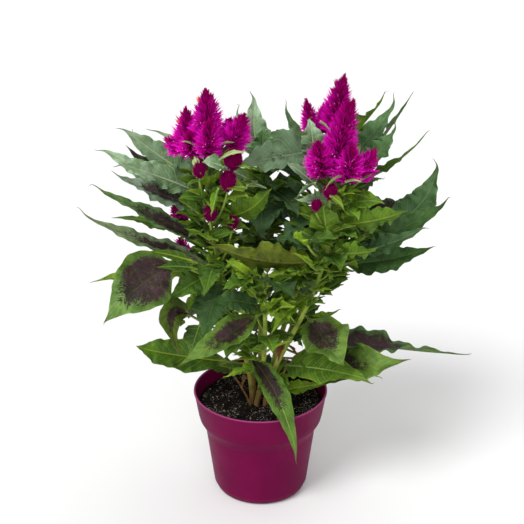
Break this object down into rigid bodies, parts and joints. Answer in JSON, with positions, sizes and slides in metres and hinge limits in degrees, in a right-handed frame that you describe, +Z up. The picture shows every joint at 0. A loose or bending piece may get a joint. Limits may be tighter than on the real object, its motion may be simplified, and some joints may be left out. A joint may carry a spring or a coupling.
{
  "type": "potted plume celosia",
  "caption": "Potted plume celosia: leafy stems topped with pointed magenta flower plumes, standing in soil in a round plastic grow pot with a wide collar.",
  "frame": {"origin": "centre of the flat pad under the pot's base, on the surface the pot stands on", "axes": "+Z up along the pot's axis; the plant's front, the side the picture was taken from, faces -Y; +X to the right seen from the front"},
  "size_m": [0.338, 0.218, 0.381],
  "materials": {
    "pot_plastic": "satin magenta-purple moulded plastic",
    "potting_mix": "loose dark potting mix with white perlite and bark fibres",
    "foliage": "soft green leaves, blue-grey at the top of the plant, some with a purple-brown blotch",
    "dry_stem": "dry brown",
    "plume_florets": "papery magenta florets with silky pink tips"
  },
  "bodies": {
    "root": {"pot": "pot_plastic", "soil": "potting_mix", "leafy_stem_left": "foliage", "leafy_stem_left_back": "foliage", "leafy_stem_front": "foliage", "leafy_stem_right": "foliage", "leafy_stem_right_side": "foliage", "leafy_stem_right_back": "foliage", "leafy_stem_back": "foliage", "withered_shoot": "dry_stem", "plume_left": "plume_florets", "plume_right": "plume_florets", "plume_right_back": "plume_florets", "flower_head_left_1": "plume_florets", "flower_head_left_2": "plume_florets", "flower_head_left_3": "plume_florets", "flower_head_left_4": "plume_florets", "flower_head_left_5": "plume_florets", "flower_head_left_6": "plume_florets", "flower_head_left_7": "plume_florets", "flower_head_right_1": "plume_florets", "flower_head_right_2": "plume_florets"}
  },
  "joints": []
}
